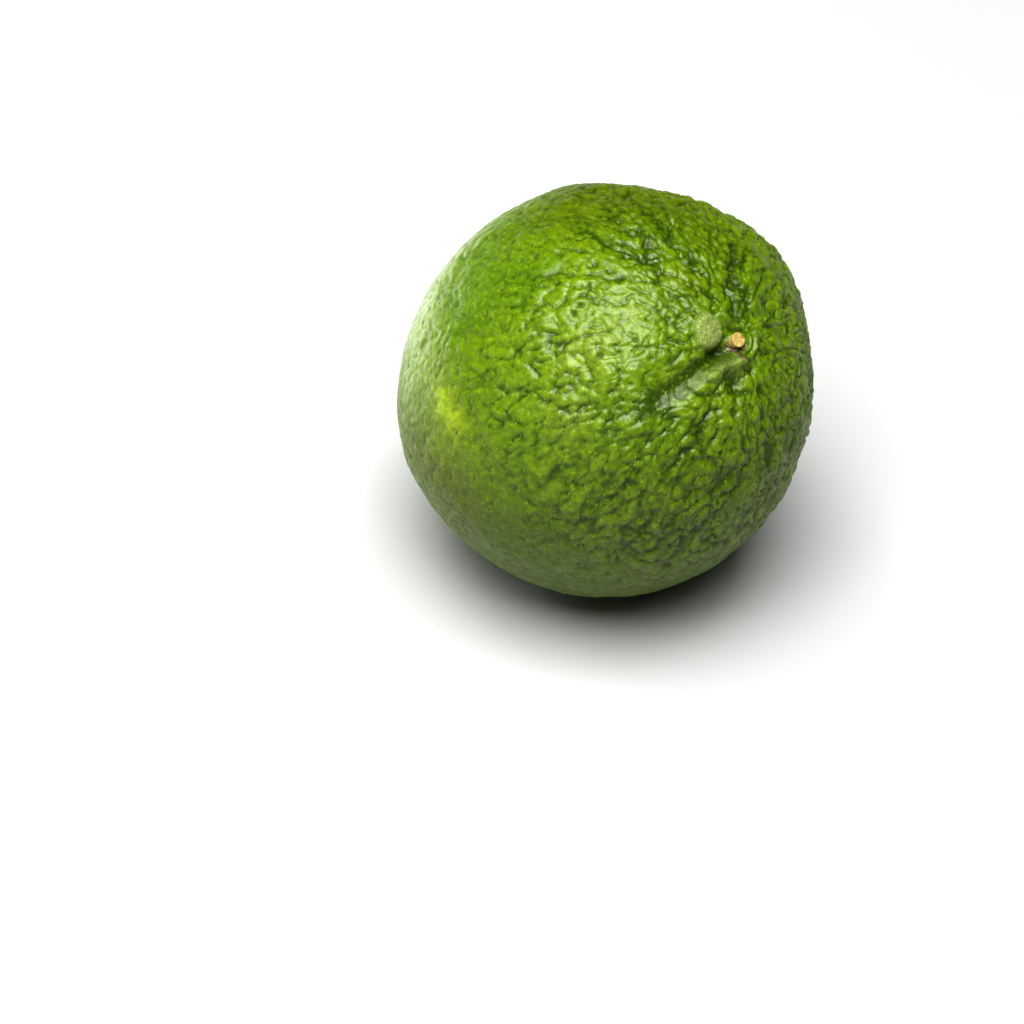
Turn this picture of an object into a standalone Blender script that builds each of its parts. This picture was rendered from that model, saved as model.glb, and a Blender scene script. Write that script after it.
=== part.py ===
"""A whole lime lying on the small flat spot it rests on, with the woody stub of its stem.

The fruit is grown outwards from its middle: every point of the skin is a distance along a direction.
Directions are given in the fruit's own frame, whose third axis runs out through the stem end, whose
first axis points up over the fruit's back, and whose second axis points to its flank. The finished
fruit stands with the middle of its rest spot at the origin and its stem end leaning towards +X.
"""

import math

import bmesh
import bpy
import numpy as np
from mathutils import Matrix, Vector

MM = 0.001

# The body: a slightly long fruit, narrower towards the blossom end.
WIDTH = 56.6 * MM
STEM_HALF = 30.6 * MM
TIP_HALF = 30.0 * MM
TIP_TAPER = 0.045
STEM_TILT = math.radians(42.8)
BODY_CENTRE = Vector((0.2, 0.0, 28.3)) * MM

# Grid of the skin: segments round the stem axis and rings along it, closer together at the two ends.
SEGMENTS = 84
RINGS = 58
END_CROWDING = 0.72

# Broad swellings and flats: angle from the stem and angle round it in degrees, spread in degrees, height.
SWELLINGS = (
    (58.0, -76.0, 16.0, 1.3 * MM),
    (82.0, -25.0, 14.0, 0.6 * MM),
    (125.0, 69.0, 16.0, 0.65 * MM),
    (59.0, -135.0, 18.0, -0.75 * MM),
    (120.0, 180.0, 15.0, 0.9 * MM),
)

# Blossom end: a low nipple inside a shallow ring, with the dimple that the flower left.
NIPPLE_HEIGHT = 1.9 * MM
NIPPLE_SPREAD = 4.0 * MM
NIPPLE_RING_DEPTH = 0.4 * MM
NIPPLE_RING_RADIUS = 8.5 * MM
NIPPLE_RING_SPREAD = 2.4 * MM
STYLE_DIMPLE_DEPTH = 0.4 * MM
STYLE_DIMPLE_SPREAD = 0.9 * MM

# Stem end, in places towards the back and towards the flank from the stem axis: a shallow hollow, the
# swollen boss beside it, the furrow that runs off below the boss, and the lip and pit beyond the furrow.
HOLLOW_DEPTH = 0.7 * MM
HOLLOW_SPREAD = 3.0 * MM
BOSS_AT = (3.1 * MM, 3.4 * MM)
BOSS_RADIUS = 2.45 * MM
BOSS_HEIGHT = 0.6 * MM
BOSS_FLANK = 0.3
BOSS_OVERHANG = 0.25
FURROW_START = (-0.4 * MM, 3.0 * MM)
FURROW_END = (-0.7 * MM, 15.0 * MM)
FURROW_DEPTH = 1.9 * MM
FURROW_SPREAD = 1.0 * MM
FURROW_FADE = 0.7
LIP = ((-2.3 * MM, 1.6 * MM), (-1.6 * MM, 4.3 * MM), (-1.5 * MM, 8.5 * MM))
LIP_HEIGHT = 1.45 * MM
LIP_SPREAD = 0.7 * MM
LIP_FADE = 0.8
PIT_AT = (-4.4 * MM, 3.7 * MM)
PIT_DEPTH = 0.9 * MM
PIT_SPREAD = 1.1 * MM

# Stem stub: a short woody plug in its socket.
STUB_RADIUS = 0.98 * MM
STUB_FOOT_RADIUS = 0.9 * MM
STUB_LENGTH = 2.6 * MM
STUB_PROUD = 0.45 * MM
STUB_BEVEL = 0.15 * MM
STUB_SIDES = 24
GAP = 0.3 * MM
CUTTER_OVERRUN = 3.0 * MM

PEEL_GREEN = (0.115, 0.245, 0.018, 1.0)
PEEL_ROUGHNESS = 0.38
STUB_TAN = (0.62, 0.42, 0.17, 1.0)
STUB_ROUGHNESS = 0.8
SHARP_FROM = math.radians(50.0)


def bell(distance, spread):
    """1 in the middle and falling smoothly to nothing within about two spreads."""
    return np.exp(-0.5 * (distance / spread) ** 2)


def smooth_step(value):
    """0 below 0, 1 above 1 and an easy curve between them."""
    t = np.clip(value, 0.0, 1.0)
    return t * t * (3.0 - 2.0 * t)


def direction(from_stem, around):
    """The unit direction at an angle from the stem end and an angle round it, both in degrees."""
    polar, turn = math.radians(from_stem), math.radians(around)
    return np.array((
        math.sin(polar) * math.cos(turn),
        math.sin(polar) * math.sin(turn),
        math.cos(polar),
    ))


def body_radius(rays):
    """The smooth egg of the fruit, with its broad swellings."""
    half_length = np.where(rays[:, 2] > 0.0, STEM_HALF, TIP_HALF)
    across = np.hypot(rays[:, 0], rays[:, 1])
    narrowing = 1.0 - TIP_TAPER * smooth_step(-rays[:, 2])
    half_width = 0.5 * WIDTH * narrowing
    radius = 1.0 / np.sqrt((across / half_width) ** 2 + (rays[:, 2] / half_length) ** 2)
    for from_stem, around, spread, height in SWELLINGS:
        angle = np.arccos(np.clip(rays @ direction(from_stem, around), -1.0, 1.0))
        radius += height * bell(angle, math.radians(spread))
    return radius


def along(place, start, end):
    """How far along the line from start to end each place lies, 0 to 1, and its distance from that line."""
    start, end = np.array(start), np.array(end)
    run = end - start
    share = np.clip(((place - start) @ run) / (run @ run), 0.0, 1.0)
    off = place - start - share[:, None] * run
    return share, np.linalg.norm(off, axis=1)


def stem_end_relief(place):
    """Height of the hollow, boss, furrow, lip and pit, from places on the plane across the stem axis."""
    relief = -HOLLOW_DEPTH * bell(np.linalg.norm(place, axis=1), HOLLOW_SPREAD)
    from_boss = np.linalg.norm(place - np.array(BOSS_AT), axis=1)
    relief += BOSS_HEIGHT * smooth_step((1.0 - from_boss / BOSS_RADIUS) / BOSS_FLANK + BOSS_OVERHANG)
    share, off = along(place, FURROW_START, FURROW_END)
    relief -= FURROW_DEPTH * (1.0 - share) ** FURROW_FADE * bell(off, FURROW_SPREAD)
    near_off = along(place, LIP[0], LIP[1])[1]
    share, far_off = along(place, LIP[1], LIP[2])
    relief += LIP_HEIGHT * (1.0 - share) ** LIP_FADE * bell(np.minimum(near_off, far_off), LIP_SPREAD)
    relief -= PIT_DEPTH * bell(np.linalg.norm(place - np.array(PIT_AT), axis=1), PIT_SPREAD)
    return relief


def blossom_end_relief(from_axis):
    """Height of the nipple, its ring and its dimple, by distance from the axis."""
    relief = NIPPLE_HEIGHT * bell(from_axis, NIPPLE_SPREAD)
    relief -= NIPPLE_RING_DEPTH * bell(from_axis - NIPPLE_RING_RADIUS, NIPPLE_RING_SPREAD)
    relief -= STYLE_DIMPLE_DEPTH * bell(from_axis, STYLE_DIMPLE_SPREAD)
    return relief


def skin(rays):
    """Points of the skin along unit rays, in the fruit's own frame."""
    radius = body_radius(rays)
    place = rays[:, :2] * radius[:, None]
    at_stem_end = rays[:, 2] > 0.0
    relief = np.where(
        at_stem_end,
        stem_end_relief(place),
        blossom_end_relief(np.linalg.norm(place, axis=1)),
    )
    return rays * (radius + relief)[:, None]


def fruit_pose():
    """Turns the fruit's own frame into the standing pose: stem axis tilted up, leaning towards +X."""
    stem = Vector((math.cos(STEM_TILT), 0.0, math.sin(STEM_TILT)))
    back = Vector((-math.sin(STEM_TILT), 0.0, math.cos(STEM_TILT)))
    flank = stem.cross(back)
    turn = Matrix((back, flank, stem)).transposed()
    return Matrix.Translation(BODY_CENTRE) @ turn.to_4x4()


def crowd_rings(rays):
    """Moves the rings of a unit sphere towards both ends of its axis."""
    polar = np.arccos(np.clip(rays[:, 2], -1.0, 1.0)) / math.pi
    polar = math.pi * (polar - END_CROWDING * np.sin(2.0 * math.pi * polar) / (2.0 * math.pi))
    turn = np.arctan2(rays[:, 1], rays[:, 0])
    return np.column_stack((
        np.sin(polar) * np.cos(turn),
        np.sin(polar) * np.sin(turn),
        np.cos(polar),
    ))


def cut_rest_spot(bm):
    """Slices off what lies below the surface that the fruit rests on, and closes it with one flat face."""
    cut = bmesh.ops.bisect_plane(
        bm,
        geom=bm.verts[:] + bm.edges[:] + bm.faces[:],
        plane_co=(0.0, 0.0, 0.0),
        plane_no=(0.0, 0.0, 1.0),
        clear_inner=True,
    )
    rim = [item for item in cut["geom_cut"] if isinstance(item, bmesh.types.BMEdge)]
    for vert in {vert for edge in rim for vert in edge.verts}:
        vert.co.z = 0.0
    bmesh.ops.contextual_create(bm, geom=rim)
    bmesh.ops.recalc_face_normals(bm, faces=bm.faces)


def finish_object(name, bm, material):
    """Makes a smooth-shaded object of the mesh, linked to the scene."""
    mesh = bpy.data.meshes.new(name)
    bm.to_mesh(mesh)
    bm.free()
    mesh.shade_smooth()
    mesh.set_sharp_from_angle(angle=SHARP_FROM)
    mesh.materials.append(material)
    piece = bpy.data.objects.new(name, mesh)
    bpy.context.collection.objects.link(piece)
    return piece


def surface(name, colour, roughness):
    """A plain material."""
    material = bpy.data.materials.new(name)
    material.use_nodes = True
    shader = material.node_tree.nodes["Principled BSDF"]
    shader.inputs["Base Color"].default_value = colour
    shader.inputs["Roughness"].default_value = roughness
    shader.inputs["Metallic"].default_value = 0.0
    return material


def plug(bm, top_radius, foot_radius, top, foot):
    """A tapered round plug along the stem axis, from one height on it down to another."""
    middle = Matrix.Translation((0.0, 0.0, 0.5 * (top + foot)))
    bmesh.ops.create_cone(
        bm,
        cap_ends=True,
        segments=STUB_SIDES,
        radius1=foot_radius,
        radius2=top_radius,
        depth=top - foot,
        matrix=middle,
    )


def make_fruit(pose, socket_foot):
    """The fruit, with its rest spot cut flat and the stem's socket sunk into it."""
    bm = bmesh.new()
    bmesh.ops.create_uvsphere(bm, u_segments=SEGMENTS, v_segments=RINGS, radius=1.0)
    rays = crowd_rings(np.array([vert.co[:] for vert in bm.verts]))
    for vert, point in zip(bm.verts, skin(rays)):
        vert.co = pose @ Vector(point)
    cut_rest_spot(bm)
    fruit = finish_object("lime", bm, surface("peel", PEEL_GREEN, PEEL_ROUGHNESS))

    bm = bmesh.new()
    plug(bm, STUB_RADIUS + GAP, STUB_FOOT_RADIUS + GAP, STEM_HALF + CUTTER_OVERRUN, socket_foot)
    bm.transform(pose)
    cutter = finish_object("stem_socket_cutter", bm, fruit.data.materials[0])
    cutter.hide_render = True
    cutter.display_type = "WIRE"
    socket = fruit.modifiers.new("stem_socket", "BOOLEAN")
    socket.operation = "DIFFERENCE"
    socket.solver = "EXACT"
    socket.object = cutter
    return fruit


def make_stub(pose, top):
    """The woody stub, a little wider at its broken top."""
    bm = bmesh.new()
    plug(bm, STUB_RADIUS, STUB_FOOT_RADIUS, top, top - STUB_LENGTH)
    rims = [edge for edge in bm.edges if len(edge.link_faces) == 2 and edge.calc_face_angle(0.0) > 1.0]
    bmesh.ops.bevel(bm, geom=rims, offset=STUB_BEVEL, segments=2, affect="EDGES", profile=0.5)
    bm.transform(pose)
    return finish_object("stem_stub", bm, surface("stem_wood", STUB_TAN, STUB_ROUGHNESS))


def main():
    for old in list(bpy.data.objects):
        bpy.data.objects.remove(old, do_unlink=True)
    pose = fruit_pose()
    hollow_floor = skin(np.array([[0.0, 0.0, 1.0]]))[0, 2]
    stub_top = hollow_floor + STUB_PROUD
    make_fruit(pose, stub_top - STUB_LENGTH - GAP)
    make_stub(pose, stub_top)


main()
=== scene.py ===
"""The finished look of a whole lime: wrinkled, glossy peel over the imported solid, and its woody stem stub.

The peel is one dense closed mesh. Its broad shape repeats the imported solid's formula, and its creases,
crinkles and pits are real relief laid over that. Distances are in metres, and angles in degrees from
the stem end and round the stem axis, as in the solid's own frame.
"""

import itertools
import math

import bpy
import numpy as np
from mathutils import Matrix, Vector


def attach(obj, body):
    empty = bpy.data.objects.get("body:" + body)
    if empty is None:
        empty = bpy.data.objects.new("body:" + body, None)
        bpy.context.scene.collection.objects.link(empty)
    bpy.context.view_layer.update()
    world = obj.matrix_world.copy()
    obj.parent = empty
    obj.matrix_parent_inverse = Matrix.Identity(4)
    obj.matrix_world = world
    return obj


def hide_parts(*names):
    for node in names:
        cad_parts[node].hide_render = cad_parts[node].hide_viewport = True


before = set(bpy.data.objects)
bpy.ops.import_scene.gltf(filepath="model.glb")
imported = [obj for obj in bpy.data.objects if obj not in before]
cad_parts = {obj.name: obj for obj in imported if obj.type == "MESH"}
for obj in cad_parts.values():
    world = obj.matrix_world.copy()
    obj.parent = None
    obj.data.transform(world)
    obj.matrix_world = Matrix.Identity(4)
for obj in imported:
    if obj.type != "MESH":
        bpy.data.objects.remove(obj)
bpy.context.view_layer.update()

MM = 0.001

# The body, as in the solid.
WIDTH = 56.6 * MM
STEM_HALF = 30.6 * MM
TIP_HALF = 30.0 * MM
TIP_TAPER = 0.045
STEM_TILT = math.radians(42.8)
BODY_CENTRE = Vector((0.2, 0.0, 28.3)) * MM
SWELLINGS = (
    (58.0, -76.0, 16.0, 1.3 * MM),
    (82.0, -25.0, 14.0, 0.6 * MM),
    (125.0, 69.0, 16.0, 0.65 * MM),
    (59.0, -135.0, 18.0, -0.75 * MM),
    (120.0, 180.0, 15.0, 0.9 * MM),
)
REST_SOFTNESS = 0.3 * MM

# Skin grid: quads along each edge of the cube it is blown up from, and how far it crowds to the stem end.
GRID = 128
STEM_CROWDING = 0.5
CHART_MARGIN = 0.006

# Blossom end.
NIPPLE_HEIGHT = 1.9 * MM
NIPPLE_SPREAD = 4.0 * MM
NIPPLE_RING_DEPTH = 0.4 * MM
NIPPLE_RING_RADIUS = 8.5 * MM
NIPPLE_RING_SPREAD = 2.4 * MM
STYLE_DIMPLE_DEPTH = 0.4 * MM
STYLE_DIMPLE_SPREAD = 0.9 * MM

# Stem end: places are towards the back and towards the flank, from the stem axis.
HOLLOW_DEPTH = 0.7 * MM
HOLLOW_SPREAD = 3.0 * MM
SOCKET_DEPTH = 0.45 * MM
SOCKET_RADIUS = 1.3 * MM
SOCKET_SPREAD = 0.28 * MM
COLLARS = ((1.85 * MM, 0.6 * MM, 0.2 * MM), (2.8 * MM, 0.65 * MM, 0.26 * MM))
COLLAR_WAY = math.radians(-115.0)
BOSS_AT = (3.1 * MM, 3.4 * MM)
BOSS_RADIUS = 2.45 * MM
BOSS_HEIGHT = 0.6 * MM
BOSS_FLANK = 0.3
BOSS_OVERHANG = 0.25
BOSS_UNEVEN = 0.55 * MM
BOSS_UNEVEN_SIZE = 2.2 * MM
MOAT_DEPTH = 0.4 * MM
MOAT_SPREAD = 0.32 * MM
LOBE_AT = (3.3 * MM, -0.3 * MM)
LOBE_RADIUS = 1.5 * MM
LOBE_HEIGHT = 0.45 * MM
HUSK_AT = (-1.9 * MM, 1.3 * MM)
HUSK_SPREAD = 0.5 * MM
HUSK_WAY = math.radians(150.0)
HUSK_RING_RADIUS = 1.18 * MM
HUSK_RING_SPREAD = 0.3 * MM
HUSK_RING_SHARE = (0.2, 1.3)
HUSK_TUFT_SHARE = 1.1
FURROW_START = (-0.4 * MM, 3.0 * MM)
FURROW_END = (-0.7 * MM, 15.0 * MM)
FURROW_DEPTH = 1.9 * MM
FURROW_SPREAD = 1.0 * MM
FURROW_FADE = 0.7
FURROW_SMOOTH_SPREAD = 1.6 * MM
LIP = ((-2.3 * MM, 1.6 * MM), (-1.6 * MM, 4.3 * MM), (-1.5 * MM, 8.5 * MM))
LIP_HEIGHT = 1.3 * MM
LIP_SPREAD = 0.7 * MM
LIP_FADE = 0.8
# How much of the boss's pale cork the lip's crest gets as a painted highlight, and how far from the crest.
LIP_CREST_HIGHLIGHT = 0.4
LIP_HIGHLIGHT_SPREAD = 0.49 * MM
PIT_AT = (-4.4 * MM, 3.7 * MM)
PIT_DEPTH = 0.9 * MM
PIT_SPREAD = 1.1 * MM

# Long creases, each as its depth, spread and the (from stem, around) places that it passes through.
CREASES = (
    (0.45 * MM, 0.50 * MM, ((4.9, -35.6), (13.2, -34.8), (27.4, -46.7))),
    (0.35 * MM, 0.45 * MM, ((7.0, -62.0), (15.6, -48.9), (23.0, -40.0))),
    (0.35 * MM, 0.45 * MM, ((51.0, 10.3), (40.7, 10.7), (31.0, 10.1))),
    (0.30 * MM, 0.40 * MM, ((37.5, -1.4), (29.1, 10.1), (25.3, 19.1))),
    (0.30 * MM, 0.45 * MM, ((42.0, -16.5), (29.8, -8.1), (23.0, -8.2))),
    (0.35 * MM, 0.50 * MM, ((16.0, 118.0), (27.0, 124.0), (38.0, 121.0))),
    (0.40 * MM, 0.50 * MM, ((13.0, 178.0), (25.0, 170.0), (36.0, 176.0))),
)
CREASE_WANDER = 1.1 * MM
CREASE_WANDER_SIZE = 4.0 * MM
# The crease depth that gets full painted shade.
CREASE_SHADE_DEPTH = 0.5 * MM

# Spots where the wrinkles are stronger or weaker, each as from stem, around and spread, and how calm
# the wrinkles get there and on the boss, in the furrow and close to the stub.
ROUGH_PATCH = (52.0, 90.0, 10.0)
PLATEAU = (29.0, 42.0, 5.0)
PLATEAU_CALM = 0.6
SMOOTHER = ((60.0, 14.0, 12.0), (66.0, 38.0, 11.0))
SMOOTHER_CALM = 0.45
BANK = (24.0, 80.0, 4.5)
BANK_CALM = 0.8
BOSS_CALM = 0.85
FURROW_CALM = 0.7
STUB_CALM = 0.7
STUB_CALM_SPREAD = 2.0 * MM

# Small pocks scattered over the whole skin.
POCK_SPACING = 1.35 * MM
POCK_SPREAD = 0.26 * MM
POCK_DEPTH = 0.22 * MM

# Wrinkles that run away from the stem: first ring, bands of doubling radius, width, length, height.
WRINKLE_FIRST_RING = 1.6 * MM
WRINKLE_BANDS = 6
WRINKLE_WIDTH = 1.0 * MM
WRINKLE_WIDENING = 0.22
WRINKLE_LENGTH = 3.4 * MM
WRINKLE_HEIGHT = 0.40 * MM
WRINKLED_TO = 92.0
WRINKLE_FADE = 40.0
LEAST_WRINKLED = 0.16
LUMP_SIZE = 6.0 * MM
LUMP_HEIGHT = 0.45 * MM
LEAST_LUMPY = 0.35
PEBBLE_SIZE = 1.9 * MM
PEBBLE_HEIGHT = 0.28 * MM
LEAST_PEBBLED = 0.4
RIPPLE_SIZE = 2.3 * MM
RIPPLE_HEIGHT = 0.22 * MM
GRAIN_SIZE = 0.85 * MM
GRAIN_HEIGHT = 0.12 * MM
GRAIN_CALM = 0.3

# How much pebbles and the furrow's and pit's floors count towards the painted highlights on crests and the
# painted shade in valleys.
PEBBLE_SHADE = 0.5
HOLLOW_SHADE = 0.9

# Colour patches, each as its mask and the from-stem angle, around angle and spread of its bells. The pale
# patches are painted sheen, and the shade and dark patches are painted shade.
PATCHES = {
    "yellow": ((86.3, 63.0, 2.6), (84.0, 68.0, 3.2), (82.5, 71.5, 2.4)),
    "fresh": ((88.5, 67.0, 5.5), (84.0, 74.0, 5.0), (93.0, 76.0, 4.0)),
    # Painted sheen.
    "pale": ((39.0, 60.0, 7.0), (29.0, 42.0, 5.0), (24.8, -99.0, 3.5), (50.0, 82.0, 5.0)),
    # Painted shade.
    "shade": ((35.0, -27.0, 10.0), (19.0, 17.0, 6.5), (62.0, -10.0, 12.0)),
    # Painted shade underneath.
    "dark": ((62.0, 135.0, 22.0), (62.0, 175.0, 24.0), (50.0, -140.0, 22.0), (100.0, 130.0, 30.0)),
    "olive": ((60.0, -12.0, 13.0), (70.0, -45.0, 14.0), (103.0, 80.0, 10.0), (97.0, 92.0, 8.0),
              (150.0, -120.0, 22.0)),
}

# Stem stub.
STUB_RADIUS = 0.98 * MM
STUB_FOOT_RADIUS = 0.9 * MM
STUB_LENGTH = 2.6 * MM
STUB_PROUD = 0.45 * MM
STUB_SIDES = 48
STUB_RINGS = 14
STUB_TOP_RINGS = 8
STUB_WOBBLE = 0.06
STUB_WOBBLE_SIZE = 0.7 * MM
STUB_BREAK = 0.10 * MM
STUB_BREAK_SIZE = 0.5 * MM
STUB_BREAK_BELOW = 0.6 * MM

# Colours, as linear red, green, blue and alpha.
GREEN = (0.125, 0.225, 0.001, 1.0)
LIGHT_GREEN = (0.180, 0.285, 0.001, 1.0)
MOTTLE = (0.165, 0.285, 0.001, 1.0)
OLIVE = (0.145, 0.195, 0.001, 1.0)
FRESH = (0.235, 0.335, 0.001, 1.0)
YELLOW = (0.36, 0.48, 0.003, 1.0)
# Painted sheen for the pale patches.
PAINTED_SHEEN = (0.27, 0.37, 0.04, 1.0)
# Painted shade for the dark and shade patches.
UNDERSIDE_PAINTED_SHADE = (0.092, 0.155, 0.001, 1.0)
PAINTED_SHADE = (0.085, 0.145, 0.001, 1.0)
# Painted highlight on the crests and painted shade in the valleys.
PAINTED_CREST_HIGHLIGHT = (0.24, 0.355, 0.012, 1.0)
PAINTED_VALLEY_SHADE = (0.040, 0.085, 0.001, 1.0)
SPECK = (0.35, 0.41, 0.004, 1.0)
# Painted shade in the pocks.
POCK_PAINTED_SHADE = (0.065, 0.11, 0.001, 1.0)
CORK_DARK = (0.165, 0.235, 0.04, 1.0)
CORK_PALE = (0.37, 0.42, 0.14, 1.0)
CRUMB_DARK = (0.040, 0.022, 0.014, 1.0)
CRUMB_PALE = (0.20, 0.16, 0.09, 1.0)
WOOD_DARK = (0.36, 0.245, 0.07, 1.0)
WOOD_PALE = (0.56, 0.44, 0.165, 1.0)
TABLE_DARK = (0.47, 0.47, 0.47, 1.0)
TABLE_PALE = (0.49, 0.49, 0.49, 1.0)
WHITE = (1.0, 1.0, 1.0, 1.0)

# View: the way the camera looks, and where the fruit stands in the picture.
VIEW_AZIMUTH = math.radians(41.3)
VIEW_ELEVATION = math.radians(41.0)
VIEW_DISTANCE = 395.0 * MM
AIM_LEFT = 12.8 * MM
AIM_BELOW = 16.5 * MM
LENS = 100.0
SENSOR = 36.0

# Studio. Each lamp that faces the fruit has its way in the camera's right, up and back, its distance,
# size and power, and whether the skin mirrors it.
LAMPS = (
    ("key", (-0.06, 0.53, 0.85), 2.4, 1.9, 152.0, True),
    ("side", (-0.85, 0.6, -0.3), 0.33, 0.12, 0.5, False),
)

# The lamp that lights the table on the left: its place to the right, away from the camera and up.
WASH_AT = (-0.145, 0.115, 0.2)
WASH_SIZE = 0.12
WASH_SPREAD = math.radians(55.0)
WASH_POWER = 0.8

# The wall all round: its strength fades from the horizon up and from left to right, each as from, to,
# strength at the first and strength at the second. The camera sees it paler by the backdrop's strength.
WALL_FADE = (0.0, 0.35, 1.1, 0.04)
WALL_LEAN = (-0.2, 0.95, 0.07, 1.3)
BACKDROP = 0.85
FLOOR_HALF = 1.2
VIEW_GAMMA = 0.75


def bell(distance, spread):
    """1 in the middle and falling smoothly to nothing within about two spreads."""
    return np.exp(-0.5 * (distance / spread) ** 2)


def smooth_step(value):
    """0 below 0, 1 above 1 and an easy curve between them."""
    t = np.clip(value, 0.0, 1.0)
    return t * t * (3.0 - 2.0 * t)


def at_least(least, share):
    """The least where the share is 0, rising evenly to 1 where it is 1."""
    return least + (1.0 - least) * share


def direction(from_stem, around):
    """The unit direction at an angle from the stem end and an angle round it, both in degrees."""
    polar, turn = math.radians(from_stem), math.radians(around)
    return np.array((
        math.sin(polar) * math.cos(turn),
        math.sin(polar) * math.sin(turn),
        math.cos(polar),
    ))


def cell_code(cell, seed):
    """A scrambled whole number for each lattice cell."""
    return cell[:, 0] * 73856093 ^ cell[:, 1] * 19349663 ^ cell[:, 2] * 83492791 ^ seed * 2654435761


def lattice_noise(points, seed):
    """Smooth random bumps, about -1 to 1, one to a unit of length."""
    base = np.floor(points).astype(np.int64)
    offset = points - base
    fade = offset ** 3 * (offset * (offset * 6.0 - 15.0) + 10.0)
    total = np.zeros(len(points))
    for corner in itertools.product((0, 1), repeat=3):
        code = cell_code(base + corner, seed)
        code = (code ^ (code >> 13)) * 1274126177 & 0x7FFFFFFF
        lean = (code >> 7) % 4096 / 4096.0 * 2.0 * math.pi
        height = (code >> 19) % 2048 / 1024.0 - 1.0
        flat = np.sqrt(1.0 - height ** 2)
        slope = np.column_stack((flat * np.cos(lean), flat * np.sin(lean), height))
        weight = np.prod(np.where(np.array(corner) == 1, fade, 1.0 - fade), axis=1)
        total += weight * np.sum(slope * (offset - corner), axis=1)
    return 1.6 * total


def warped(points, size, amount, seed):
    """Points pushed about by slow noise, so that what is drawn on them wanders."""
    shift = [lattice_noise(points / size, seed + axis) for axis in range(3)]
    return points + amount * np.column_stack(shift)


def scattered(points, spacing, seed):
    """Distance to the nearest of some randomly scattered spots, and that spot's own random number."""
    base = np.floor(points / spacing).astype(np.int64)
    nearest = np.full(len(points), np.inf)
    own = np.zeros(len(points))
    for step in itertools.product((-1, 0, 1), repeat=3):
        cell = base + step
        code = cell_code(cell, seed)
        code = (code ^ (code >> 15)) * 2246822519 & 0x7FFFFFFFFFFF
        place = np.column_stack([(code >> shift) % 1024 / 1024.0 for shift in (7, 17, 27)])
        distance = np.linalg.norm((cell + place) * spacing - points, axis=1)
        closer = distance < nearest
        nearest = np.where(closer, distance, nearest)
        own = np.where(closer, (code >> 37) % 1024 / 1024.0, own)
    return nearest, own


def folds(points, seed):
    """Flat-topped folds with narrow valleys between them, -0.7 in the valleys and 0.3 on the folds."""
    rise = np.clip(2.9 * np.abs(lattice_noise(points, seed)), 0.0, 1.0)
    return 0.3 - (1.0 - rise) ** 2


def body_radius(rays):
    """The smooth egg of the fruit, with its broad swellings."""
    half_length = np.where(rays[:, 2] > 0.0, STEM_HALF, TIP_HALF)
    across = np.hypot(rays[:, 0], rays[:, 1])
    narrowing = 1.0 - TIP_TAPER * smooth_step(-rays[:, 2])
    half_width = 0.5 * WIDTH * narrowing
    radius = 1.0 / np.sqrt((across / half_width) ** 2 + (rays[:, 2] / half_length) ** 2)
    for from_stem, around, spread, height in SWELLINGS:
        angle = np.arccos(np.clip(rays @ direction(from_stem, around), -1.0, 1.0))
        radius += height * bell(angle, math.radians(spread))
    return radius


def along(place, start, end):
    """How far along the line from start to end each place lies, 0 to 1, and its distance from that line."""
    start, end = np.array(start), np.array(end)
    run = end - start
    share = np.clip(((place - start) @ run) / (run @ run), 0.0, 1.0)
    off = place - start - share[:, None] * run
    return share, np.linalg.norm(off, axis=1)


def boss_share(place):
    """1 on the boss and 0 off it."""
    flat = np.column_stack((place, 0.0 * place[:, 0]))
    uneven = BOSS_UNEVEN * lattice_noise(flat / BOSS_UNEVEN_SIZE, 71)
    from_boss = np.linalg.norm(place - np.array(BOSS_AT), axis=1) + uneven
    return smooth_step((1.0 - from_boss / BOSS_RADIUS) / BOSS_FLANK + BOSS_OVERHANG)


def off_lip(place):
    """How far along the lip's outer stretch each place lies, 0 to 1, and its distance from the lip."""
    inner, outer = along(place, LIP[0], LIP[1]), along(place, LIP[1], LIP[2])
    return outer[0], np.minimum(inner[1], outer[1])


def furrow_share(place):
    """1 in the furrow, falling to 0 on the banks that it smooths."""
    return bell(along(place, FURROW_START, FURROW_END)[1], FURROW_SMOOTH_SPREAD)


def pit_share(place):
    """1 in the middle of the pit beyond the lip, falling to 0 round it."""
    return bell(np.linalg.norm(place - np.array(PIT_AT), axis=1), PIT_SPREAD)


def husk_share(place):
    """How much dry brown husk lies at each place, most of it below the stub and at the lip's tip."""
    turn = np.arctan2(place[:, 1], place[:, 0])
    below = smooth_step(0.3 + 0.9 * np.cos(turn - HUSK_WAY))
    ring = bell(np.linalg.norm(place, axis=1) - HUSK_RING_RADIUS, HUSK_RING_SPREAD)
    tuft = bell(np.linalg.norm(place - np.array(HUSK_AT), axis=1), HUSK_SPREAD)
    all_round, more_below = HUSK_RING_SHARE
    return np.minimum((all_round + more_below * below) * ring + HUSK_TUFT_SHARE * tuft, 1.0)


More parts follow.
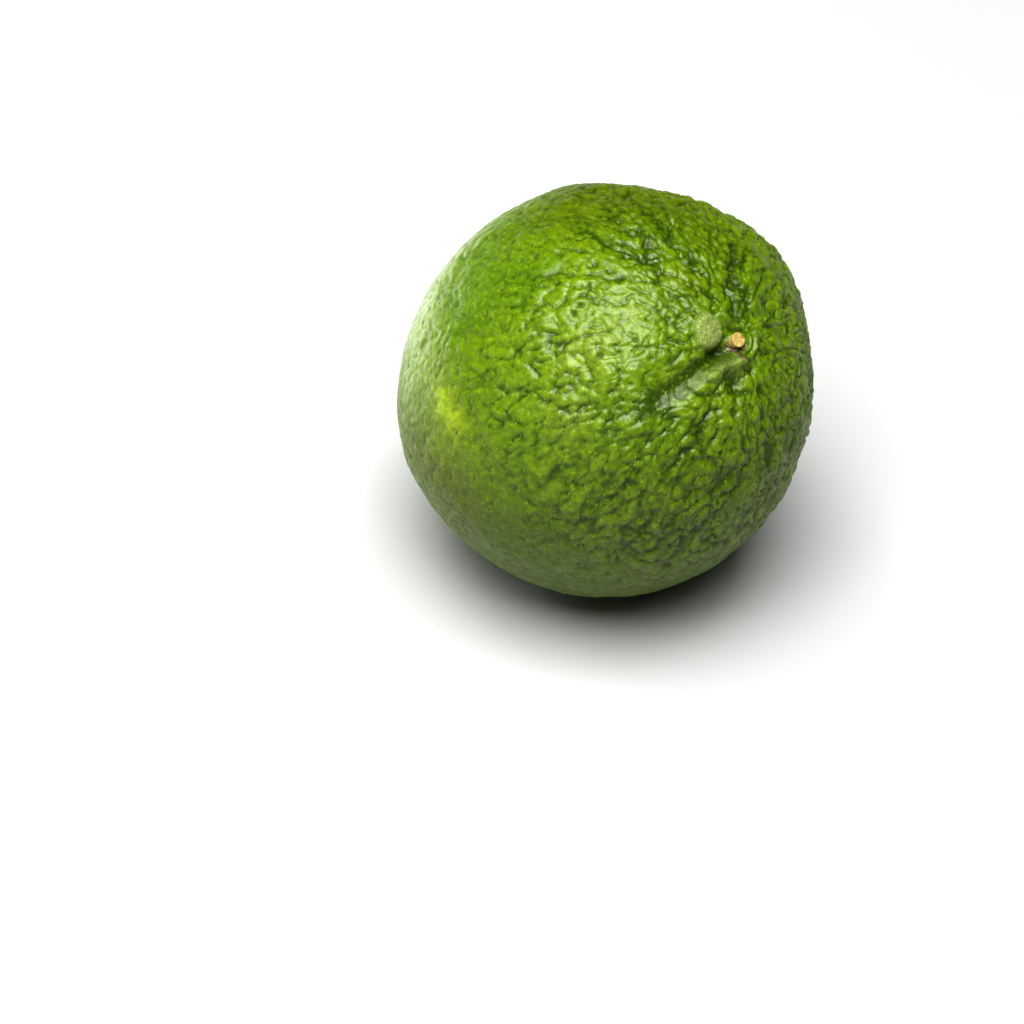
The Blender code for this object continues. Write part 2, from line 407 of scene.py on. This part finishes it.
def stem_end_relief(place):
    """Height of everything close round the stem, from places on the plane across the stem axis."""
    from_axis = np.linalg.norm(place, axis=1)
    turn = np.arctan2(place[:, 1], place[:, 0])
    relief = -HOLLOW_DEPTH * bell(from_axis, HOLLOW_SPREAD)
    relief -= SOCKET_DEPTH * bell(from_axis - SOCKET_RADIUS, SOCKET_SPREAD)
    on_side = smooth_step(0.5 + 0.8 * np.cos(turn - COLLAR_WAY))
    for radius, height, spread in COLLARS:
        relief += height * on_side * bell(from_axis - radius, spread)

    boss_at = np.array(BOSS_AT)
    from_boss = np.linalg.norm(place - boss_at, axis=1)
    inward = smooth_step(0.5 - 0.5 * ((place - boss_at) @ boss_at) / BOSS_RADIUS ** 2)
    relief += BOSS_HEIGHT * boss_share(place)
    relief -= MOAT_DEPTH * inward * bell(from_boss - BOSS_RADIUS - MOAT_SPREAD, MOAT_SPREAD)
    from_lobe = np.linalg.norm(place - np.array(LOBE_AT), axis=1)
    outside_boss = smooth_step(from_boss / MOAT_SPREAD - BOSS_RADIUS / MOAT_SPREAD)
    relief += LOBE_HEIGHT * outside_boss * smooth_step(1.6 - 1.6 * from_lobe / LOBE_RADIUS)

    share, off = along(place, FURROW_START, FURROW_END)
    relief -= FURROW_DEPTH * (1.0 - share) ** FURROW_FADE * bell(off, FURROW_SPREAD)
    share, off = off_lip(place)
    relief += LIP_HEIGHT * (1.0 - share) ** LIP_FADE * bell(off, LIP_SPREAD)
    return relief - PIT_DEPTH * pit_share(place)


def crease_relief(rays):
    """Depth of the long creases, whose paths wander a little."""
    points = warped(rays * 0.5 * WIDTH, CREASE_WANDER_SIZE, CREASE_WANDER, 90)
    relief = np.zeros(len(rays))
    for depth, spread, places in CREASES:
        stops = [direction(*place) * 0.5 * WIDTH for place in places]
        runs = [along(points, start, end)[1] for start, end in zip(stops, stops[1:])]
        relief -= depth * bell(np.minimum.reduce(runs), spread)
    return relief


def patch(rays, bells):
    """How much each ray lies in a patch made of soft round spots."""
    total = np.zeros(len(rays))
    for from_stem, around, spread in bells:
        angle = np.degrees(np.arccos(np.clip(rays @ direction(from_stem, around), -1.0, 1.0)))
        total += bell(angle, spread)
    return np.minimum(total, 1.0)


def blossom_end_relief(from_axis):
    """Height of the nipple, its ring and its dimple, by distance from the axis."""
    relief = NIPPLE_HEIGHT * bell(from_axis, NIPPLE_SPREAD)
    relief -= NIPPLE_RING_DEPTH * bell(from_axis - NIPPLE_RING_RADIUS, NIPPLE_RING_SPREAD)
    relief -= STYLE_DIMPLE_DEPTH * bell(from_axis, STYLE_DIMPLE_SPREAD)
    return relief


def stem_wrinkles(rays, radius):
    """Folds that run away from the stem and fork as they spread, about -0.5 to 0.5."""
    from_axis = np.hypot(rays[:, 0], rays[:, 1]) * radius
    polar = np.arccos(np.clip(rays[:, 2], -1.0, 1.0))
    turn = np.arctan2(rays[:, 1], rays[:, 0])
    level = np.log2(np.maximum(from_axis, 0.1 * MM) / WRINKLE_FIRST_RING)
    total = np.zeros(len(rays))
    for band in range(WRINKLE_BANDS):
        weight = np.clip(1.0 - np.abs(level - band), 0.0, 1.0)
        cells = WRINKLE_FIRST_RING * 2.0 ** band / (WRINKLE_WIDTH * (1.0 + WRINKLE_WIDENING * band))
        spot = np.column_stack((
            cells * np.cos(turn),
            cells * np.sin(turn),
            polar * radius / WRINKLE_LENGTH,
        ))
        spot = warped(spot, 1.5, 0.7, 40 + 5 * band)
        total += weight * folds(spot, 60 + band)
    return total


def wrinkle_strength(rays):
    """How wrinkled the skin is: most from the stem to half way round, least at the blossom end."""
    polar = np.degrees(np.arccos(np.clip(rays[:, 2], -1.0, 1.0)))
    near_stem = smooth_step((WRINKLED_TO - polar) / WRINKLE_FADE)
    strength = np.maximum(at_least(LEAST_WRINKLED, near_stem), patch(rays, (ROUGH_PATCH,)))
    strength *= 1.0 - PLATEAU_CALM * patch(rays, (PLATEAU,))
    return strength * (1.0 - SMOOTHER_CALM * patch(rays, SMOOTHER))


def freedom(rays, place, boss, in_furrow, at_stem_end):
    """1 where the skin is free to wrinkle, less on the boss, in the furrow, on its bank and by the stub."""
    by_stub = bell(np.linalg.norm(place, axis=1), STUB_CALM_SPREAD) * at_stem_end
    share = (1.0 - BOSS_CALM * boss) * (1.0 - FURROW_CALM * in_furrow) * (1.0 - STUB_CALM * by_stub)
    return share * (1.0 - BANK_CALM * patch(rays, (BANK,)))


def skin(rays):
    """Points of the skin along unit rays in the fruit's own frame, and the masks its material needs."""
    radius = body_radius(rays)
    points = rays * radius[:, None]
    place = points[:, :2]
    at_stem_end = rays[:, 2] > 0.0
    at_blossom_end = blossom_end_relief(np.linalg.norm(place, axis=1))
    relief = np.where(at_stem_end, stem_end_relief(place), at_blossom_end)
    boss = at_stem_end * boss_share(place)
    in_furrow = at_stem_end * furrow_share(place)
    lip_crest = at_stem_end * bell(off_lip(place)[1], LIP_HIGHLIGHT_SPREAD)
    creases = at_stem_end * crease_relief(rays)
    strength = wrinkle_strength(rays)
    free = freedom(rays, place, boss, in_furrow, at_stem_end)

    # Only some of the scattered spots grow a pock, and some of those only a faint one.
    distance, chance = scattered(points, POCK_SPACING, 3)
    pocks = bell(distance, POCK_SPREAD) * smooth_step(1.6 * chance - 0.3)
    wrinkles = stem_wrinkles(rays, radius) * strength * free
    lumps = lattice_noise(points / LUMP_SIZE, 11)
    ripples = lattice_noise(points / RIPPLE_SIZE, 53)
    pebbles = folds(warped(points / PEBBLE_SIZE, 1.6, 0.6, 23), 29)
    grains = folds(points / GRAIN_SIZE, 37)
    relief += creases + WRINKLE_HEIGHT * wrinkles - POCK_DEPTH * pocks
    relief += LUMP_HEIGHT * at_least(LEAST_LUMPY, strength) * lumps
    relief += RIPPLE_HEIGHT * strength * free * ripples
    relief += PEBBLE_HEIGHT * at_least(LEAST_PEBBLED, strength) * free * pebbles
    relief += GRAIN_HEIGHT * (1.0 - GRAIN_CALM * strength) * grains

    # What the painted highlights on crests and the painted shade in valleys, creases, the furrow and the pit
    # follow.
    hollows = in_furrow ** 3 + at_stem_end * pit_share(place)
    painted_relief_light = wrinkles + PEBBLE_SHADE * strength * pebbles
    masks = {
        # The boss mask also carries a painted highlight along the lip's crest.
        "boss": np.maximum(boss, LIP_CREST_HIGHLIGHT * lip_crest),
        "painted_relief_light": painted_relief_light + creases / CREASE_SHADE_DEPTH - HOLLOW_SHADE * hollows,
        "pock": pocks,
        "husk": at_stem_end * husk_share(place),
    }
    for name, bells in PATCHES.items():
        masks[name] = patch(rays, bells)
    return rays * (radius + relief)[:, None], masks


def fruit_pose():
    """Turns the fruit's own frame into the standing pose: stem axis tilted up, leaning towards +X."""
    stem = Vector((math.cos(STEM_TILT), 0.0, math.sin(STEM_TILT)))
    back = Vector((-math.sin(STEM_TILT), 0.0, math.cos(STEM_TILT)))
    flank = stem.cross(back)
    turn = Matrix((back, flank, stem)).transposed()
    return Matrix.Translation(BODY_CENTRE) @ turn.to_4x4()


def stand(points):
    """Points of the fruit's own frame, placed in the world."""
    pose = np.array(fruit_pose())
    return points @ pose[:3, :3].T + pose[:3, 3]


def settle(points):
    """Stands the points in the world and presses what lies below the floor flat, with a soft edge."""
    world = stand(points)
    height = world[:, 2]
    blend = np.maximum(REST_SOFTNESS - np.abs(height), 0.0) / REST_SOFTNESS
    world[:, 2] = np.maximum(height, 0.0) + 0.25 * REST_SOFTNESS * blend ** 2
    return world


def blown_cube():
    """Unit rays of a sphere blown up from a cube, its quads, and their corners on the six charts."""
    steps = np.tan(np.linspace(-1.0, 1.0, GRID + 1) * math.pi / 4.0)
    share = np.linspace(0.0, 1.0, GRID + 1)
    across, up = np.meshgrid(steps, steps, indexing="ij")
    chart_u, chart_v = np.meshgrid(share, share, indexing="ij")
    corners = np.arange((GRID + 1) ** 2).reshape(GRID + 1, GRID + 1)
    quads = np.stack((corners[:-1, :-1], corners[1:, :-1], corners[1:, 1:], corners[:-1, 1:]), axis=-1)
    quads = quads.reshape(-1, 4)
    one = np.ones_like(across)
    sides = (
        (one, across, up), (-one, up, across), (up, one, across),
        (across, -one, up), (across, up, one), (up, across, -one),
    )
    rays, faces, charts = [], [], []
    for number, side in enumerate(sides):
        column, row = number % 3, number // 3
        rays.append(np.stack(side, axis=-1).reshape(-1, 3))
        faces.append(quads + number * corners.size)
        inner = 1.0 - 2.0 * CHART_MARGIN
        chart = np.stack((
            (column + CHART_MARGIN + inner * chart_u) / 3.0,
            (row + CHART_MARGIN + inner * chart_v) / 2.0,
        ), axis=-1)
        charts.append(chart.reshape(-1, 2)[quads])
    rays, faces, charts = np.concatenate(rays), np.concatenate(faces), np.concatenate(charts)
    _, first, merged = np.unique(np.round(rays, 6), axis=0, return_index=True, return_inverse=True)
    rays = rays[first]
    rays /= np.linalg.norm(rays, axis=1)[:, None]
    return rays, merged.reshape(-1)[faces], charts


def crowd_to_stem(rays):
    """Draws the rays together towards the stem end, where the finest relief is."""
    polar = np.arccos(np.clip(rays[:, 2], -1.0, 1.0))
    polar -= STEM_CROWDING * np.sin(polar) * (0.5 + 0.5 * np.cos(polar)) ** 0.5
    turn = np.arctan2(rays[:, 1], rays[:, 0])
    return np.column_stack((
        np.sin(polar) * np.cos(turn),
        np.sin(polar) * np.sin(turn),
        np.cos(polar),
    ))


def make_piece(name, points, faces, material, masks=None, charts=None):
    """A smooth-shaded mesh object with its masks as point attributes and its charts as a UV map."""
    mesh = bpy.data.meshes.new(name)
    mesh.from_pydata(points, [], faces)
    mesh.shade_smooth()
    for mask, values in (masks or {}).items():
        mesh.attributes.new(mask, "FLOAT", "POINT").data.foreach_set("value", values)
    if charts is not None:
        mesh.uv_layers.new(name="OFBake").data.foreach_set("uv", charts.reshape(-1))
    mesh.materials.append(material)
    piece = bpy.data.objects.new(name, mesh)
    bpy.context.collection.objects.link(piece)
    return piece


class Graph:
    """A material's nodes, made and linked in a line each."""

    def __init__(self, name):
        self.material = bpy.data.materials.new(name)
        self.material.use_nodes = True
        self.tree = self.material.node_tree
        self.shader = self.tree.nodes["Principled BSDF"]
        self.place = self.add("ShaderNodeTexCoord").outputs["Object"]

    def add(self, kind, inputs=None, **settings):
        node = self.tree.nodes.new(kind)
        for key, value in settings.items():
            setattr(node, key, value)
        for key, value in (inputs or {}).items():
            self.put(node.inputs[key], value)
        return node

    def put(self, socket, value):
        if isinstance(value, bpy.types.NodeSocket):
            self.tree.links.new(value, socket)
        else:
            socket.default_value = value

    def noise(self, size, detail=2.0, roughness=0.5, distortion=0.0):
        return self.add("ShaderNodeTexNoise", {
            "Vector": self.place,
            "Scale": 1.0 / size,
            "Detail": detail,
            "Roughness": roughness,
            "Distortion": distortion,
        }).outputs["Fac"]

    def cells(self, size, feature="F1"):
        return self.add("ShaderNodeTexVoronoi", {
            "Vector": self.place,
            "Scale": 1.0 / size,
        }, feature=feature).outputs["Distance"]

    def mask(self, name):
        return self.add("ShaderNodeAttribute", attribute_name=name).outputs["Fac"]

    def ramp(self, value, low, high, start=0.0, end=1.0):
        return self.add("ShaderNodeMapRange", {
            "Value": value,
            "From Min": low,
            "From Max": high,
            "To Min": start,
            "To Max": end,
        }, interpolation_type="SMOOTHSTEP").outputs["Result"]

    def math(self, operation, first, second):
        return self.add("ShaderNodeMath", {0: first, 1: second}, operation=operation).outputs[0]

    def mix(self, share, first, second, blend="MIX"):
        node = self.add("ShaderNodeMix", data_type="RGBA", blend_type=blend)
        for socket, value in zip((node.inputs[0], node.inputs[6], node.inputs[7]), (share, first, second)):
            self.put(socket, value)
        return node.outputs[2]

    def grey(self, value):
        return self.add("ShaderNodeCombineXYZ", {0: value, 1: value, 2: value}).outputs[0]

    def bump(self, height, distance, strength=1.0, under=None):
        node = self.add("ShaderNodeBump", {"Height": height, "Distance": distance, "Strength": strength})
        if under is not None:
            self.put(node.inputs["Normal"], under)
        return node.outputs["Normal"]


def tinted(g, colour, mask, share, tint):
    """The colour with a mask's patches tinted."""
    return g.mix(g.math("MULTIPLY", g.mask(mask), share), colour, tint)


def peel_greens(g):
    """Mottled greens, with the larger patches of other tints, of painted sheen and of painted shade."""
    slow, quick = g.noise(11.0 * MM, 3.0), g.noise(2.6 * MM, 4.0, 0.6)
    colour = g.mix(g.ramp(slow, 0.35, 0.68), GREEN, LIGHT_GREEN)
    colour = g.mix(g.ramp(quick, 0.35, 0.75, 0.0, 0.8), colour, MOTTLE)
    colour = tinted(g, colour, "olive", 0.75, OLIVE)
    colour = tinted(g, colour, "fresh", 0.6, FRESH)
    blotch = g.ramp(g.noise(1.5 * MM, 4.0, 0.65), 0.25, 0.75, 0.55, 1.3)
    yellow = g.ramp(g.math("MULTIPLY", g.mask("yellow"), blotch), 0.0, 1.25)
    colour = g.mix(yellow, colour, YELLOW)
    # Painted sheen on the pale patches.
    colour = tinted(g, colour, "pale", 0.5, PAINTED_SHEEN)
    # Painted shade on the dark and shade patches.
    colour = tinted(g, colour, "dark", 0.7, UNDERSIDE_PAINTED_SHADE)
    return tinted(g, colour, "shade", 0.55, PAINTED_SHADE)


def peel_marks(g, colour):
    """The colour with painted highlights on the crests, painted shade in the valleys and the pocks,
    oil-gland specks and fine flecks.
    """
    painted_relief_light = g.mask("painted_relief_light")
    # Painted highlights on the crests of the relief, and painted shade in its valleys, creases, furrow and
    # pit.
    colour = g.mix(g.ramp(painted_relief_light, 0.1, 0.5, 0.0, 0.45), colour, PAINTED_CREST_HIGHLIGHT)
    colour = g.mix(g.ramp(painted_relief_light, 0.1, -0.55, 0.0, 0.85), colour, PAINTED_VALLEY_SHADE)
    speck = g.ramp(g.cells(0.55 * MM), 0.34, 0.14)
    speck_share = g.math("MULTIPLY", speck, g.ramp(g.noise(0.9 * MM), 0.38, 0.6))
    colour = g.mix(g.math("MULTIPLY", speck_share, 0.6), colour, SPECK)
    # Painted shade in the pocks.
    colour = g.mix(g.ramp(g.mask("pock"), 0.15, 0.8, 0.0, 0.75), colour, POCK_PAINTED_SHADE)
    fleck = g.ramp(g.noise(0.9 * MM, 4.0, 0.75), 0.3, 0.7, 0.60, 0.96)
    return g.mix(1.0, colour, g.grey(fleck), "MULTIPLY")


def peel_material():
    """Waxy lime peel, corky on the boss, with a painted highlight on the lip's crest and dry brown crumbs of
    husk round the stub.
    """
    g = Graph("lime_peel")
    boss = g.mask("boss")
    grain = g.noise(0.38 * MM, 4.0, 0.65, 0.6)
    cork = g.mix(g.ramp(grain, 0.35, 0.7), CORK_DARK, CORK_PALE)
    # On the boss, and as a painted highlight on the lip's crest, the peel turns to cork.
    colour = g.mix(boss, peel_marks(g, peel_greens(g)), cork)
    dry = g.ramp(g.math("MULTIPLY", g.mask("husk"), g.ramp(grain, 0.3, 0.65, 0.5, 1.4)), 0.35, 0.9)
    colour = g.mix(dry, colour, g.mix(g.ramp(grain, 0.45, 0.6), CRUMB_DARK, CRUMB_PALE))
    g.put(g.shader.inputs["Base Color"], colour)

    rough = g.ramp(g.noise(1.3 * MM, 3.0), 0.3, 0.7, 0.30, 0.44)
    rough = g.math("ADD", rough, g.math("MULTIPLY", boss, 0.25))
    g.put(g.shader.inputs["Roughness"], rough)
    g.shader.inputs["IOR"].default_value = 1.45
    g.shader.inputs["Specular IOR Level"].default_value = 0.48

    pores = g.ramp(g.cells(0.62 * MM, "SMOOTH_F1"), 0.0, 0.5)
    normal = g.bump(g.noise(0.3 * MM, 2.0, 0.6), 0.05 * MM, 0.8)
    normal = g.bump(pores, 0.05 * MM, 0.6, normal)
    normal = g.bump(g.math("MULTIPLY", boss, grain), 0.35 * MM, 0.8, normal)
    g.put(g.shader.inputs["Normal"], normal)
    return g.material


def wood_material():
    """Dry broken stem wood, pale tan and fibrous."""
    g = Graph("stem_wood_grain")
    grain = g.noise(0.25 * MM, 3.0, 0.65)
    g.put(g.shader.inputs["Base Color"], g.mix(g.ramp(grain, 0.3, 0.7), WOOD_DARK, WOOD_PALE))
    g.put(g.shader.inputs["Roughness"], g.ramp(grain, 0.3, 0.7, 0.9, 0.65))
    g.put(g.shader.inputs["Normal"], g.bump(grain, 0.06 * MM))
    return g.material


def make_fruit():
    """The peel as one closed mesh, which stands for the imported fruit."""
    rays, faces, charts = blown_cube()
    points, masks = skin(crowd_to_stem(rays))
    piece = make_piece("lime_skin", settle(points), faces, peel_material(), masks, charts)
    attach(piece, "root")
    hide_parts("lime")


def stub_points():
    """The stub round the stem axis: its foot, the rings up its side and over its top, the top's middle."""
    top = STEM_HALF - HOLLOW_DEPTH + STUB_PROUD
    profile = []
    for share in np.linspace(0.0, 1.0, STUB_RINGS):
        radius = STUB_FOOT_RADIUS + (STUB_RADIUS - STUB_FOOT_RADIUS) * share
        profile.append((radius, top - STUB_LENGTH * (1.0 - share)))
    profile += [(STUB_RADIUS * (1.0 - ring / STUB_TOP_RINGS), top) for ring in range(1, STUB_TOP_RINGS)]
    turns = 2.0 * math.pi * np.arange(STUB_SIDES) / STUB_SIDES
    points = [(0.0, 0.0, top - STUB_LENGTH)]
    for radius, height in profile:
        points += [(radius * math.cos(turn), radius * math.sin(turn), height) for turn in turns]
    points = np.array(points + [(0.0, 0.0, top)])
    points[:, :2] *= 1.0 + STUB_WOBBLE * lattice_noise(points / STUB_WOBBLE_SIZE, 5)[:, None]
    near_top = smooth_step((points[:, 2] - top + STUB_BREAK_BELOW) / STUB_BREAK_BELOW)
    points[:, 2] += STUB_BREAK * lattice_noise(points / STUB_BREAK_SIZE, 6) * near_top
    return points


def stub_faces(rings, last):
    """Quads between the stub's rings, and triangles to its foot's and its top's middle points."""
    faces = []
    for side in range(STUB_SIDES):
        after = (side + 1) % STUB_SIDES
        faces.append((0, 1 + after, 1 + side))
        for ring in range(rings - 1):
            low, high = 1 + ring * STUB_SIDES, 1 + (ring + 1) * STUB_SIDES
            faces.append((low + side, low + after, high + after, high + side))
        rim = 1 + (rings - 1) * STUB_SIDES
        faces.append((rim + side, rim + after, last))
    return faces


def make_stub():
    """The woody stub, with a wobbly side and a rough broken top."""
    points = stub_points()
    rings = STUB_RINGS + STUB_TOP_RINGS - 1
    faces = stub_faces(rings, len(points) - 1)
    piece = make_piece("stem_stub_wood", stand(points), faces, wood_material())
    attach(piece, "root")
    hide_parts("stem_stub")


def view_axes():
    """The camera's right, up and backward directions."""
    back = Vector((
        math.sin(VIEW_AZIMUTH) * math.cos(VIEW_ELEVATION),
        -math.cos(VIEW_AZIMUTH) * math.cos(VIEW_ELEVATION),
        math.sin(VIEW_ELEVATION),
    ))
    right = Vector((math.cos(VIEW_AZIMUTH), math.sin(VIEW_AZIMUTH), 0.0))
    return right, back.cross(right), back


def make_camera():
    """The camera, looking down at the fruit from the front right."""
    right, up, back = view_axes()
    data = bpy.data.cameras.new("camera")
    data.lens = LENS
    data.sensor_width = SENSOR
    data.clip_start = 10.0 * MM
    camera = bpy.data.objects.new("camera", data)
    camera.rotation_mode = "QUATERNION"
    camera.rotation_quaternion = (-back).to_track_quat("-Z", "Y")
    camera.location = BODY_CENTRE - AIM_LEFT * right - AIM_BELOW * up + VIEW_DISTANCE * back
    bpy.context.collection.objects.link(camera)
    bpy.context.scene.camera = camera


def make_light(name, place, target, size, power):
    """A square soft light at one place that faces another."""
    data = bpy.data.lights.new(name, "AREA")
    data.size = size
    data.energy = power
    light = bpy.data.objects.new(name, data)
    light.location = place
    light.rotation_mode = "QUATERNION"
    light.rotation_quaternion = (target - place).to_track_quat("-Z", "Y")
    light.visible_camera = False
    bpy.context.collection.objects.link(light)
    return light


def make_floor():
    """A wide white table, faintly clouded."""
    g = Graph("floor_white")
    cloud = g.ramp(g.noise(400.0 * MM), 0.3, 0.7)
    g.put(g.shader.inputs["Base Color"], g.mix(cloud, TABLE_DARK, TABLE_PALE))
    g.shader.inputs["Roughness"].default_value = 0.8
    size = FLOOR_HALF
    corners = [(-size, -size, 0.0), (size, -size, 0.0), (size, size, 0.0), (-size, size, 0.0)]
    make_piece("floor", corners, [(0, 1, 2, 3)], g.material)


def world_ramp(nodes, links, value, limits):
    """An easy ramp of a world value between limits: from, to, strength at the first and at the second."""
    ramp = nodes.new("ShaderNodeMapRange")
    ramp.interpolation_type = "SMOOTHSTEP"
    for name, limit in zip(("From Min", "From Max", "To Min", "To Max"), limits):
        ramp.inputs[name].default_value = limit
    links.new(value, ramp.inputs["Value"])
    return ramp.outputs["Result"]


def make_surroundings():
    """A pale wall all round that darkens upwards and to the right, on a pale backdrop."""
    world = bpy.data.worlds.new("studio")
    world.use_nodes = True
    bpy.context.scene.world = world
    nodes, links = world.node_tree.nodes, world.node_tree.links
    way = nodes.new("ShaderNodeTexCoord").outputs["Generated"]
    split = nodes.new("ShaderNodeSeparateXYZ")
    links.new(way, split.inputs["Vector"])
    left = nodes.new("ShaderNodeVectorMath")
    left.operation = "DOT_PRODUCT"
    left.inputs[1].default_value = -view_axes()[0]
    links.new(way, left.inputs[0])

    strength = nodes.new("ShaderNodeMath")
    strength.operation = "MULTIPLY"
    links.new(world_ramp(nodes, links, split.outputs["Z"], WALL_FADE), strength.inputs[0])
    links.new(world_ramp(nodes, links, left.outputs["Value"], WALL_LEAN), strength.inputs[1])
    seen = nodes.new("ShaderNodeMath")
    seen.operation = "MULTIPLY_ADD"
    seen.inputs[1].default_value = BACKDROP
    links.new(nodes.new("ShaderNodeLightPath").outputs["Is Camera Ray"], seen.inputs[0])
    links.new(strength.outputs[0], seen.inputs[2])
    links.new(seen.outputs[0], nodes["Background"].inputs["Strength"])
    nodes["Background"].inputs["Color"].default_value = WHITE


def make_studio():
    """White floor, pale wall, one soft overhead lamp, and small ones on the left for skin and table."""
    make_floor()
    make_surroundings()
    right, up, back = view_axes()
    for name, way, distance, size, power, mirrored in LAMPS:
        place = BODY_CENTRE + distance * (way[0] * right + way[1] * up + way[2] * back)
        make_light(name, place, BODY_CENTRE, size, power).visible_glossy = mirrored
    away = Vector((-right.y, right.x, 0.0))
    table = WASH_AT[0] * right + WASH_AT[1] * away
    above = table + Vector((0.0, 0.0, WASH_AT[2]))
    make_light("table_wash", above, table, WASH_SIZE, WASH_POWER).data.spread = WASH_SPREAD
    bpy.context.scene.view_settings.view_transform = "Standard"
    bpy.context.scene.view_settings.gamma = VIEW_GAMMA


make_camera()
make_fruit()
make_stub()
make_studio()
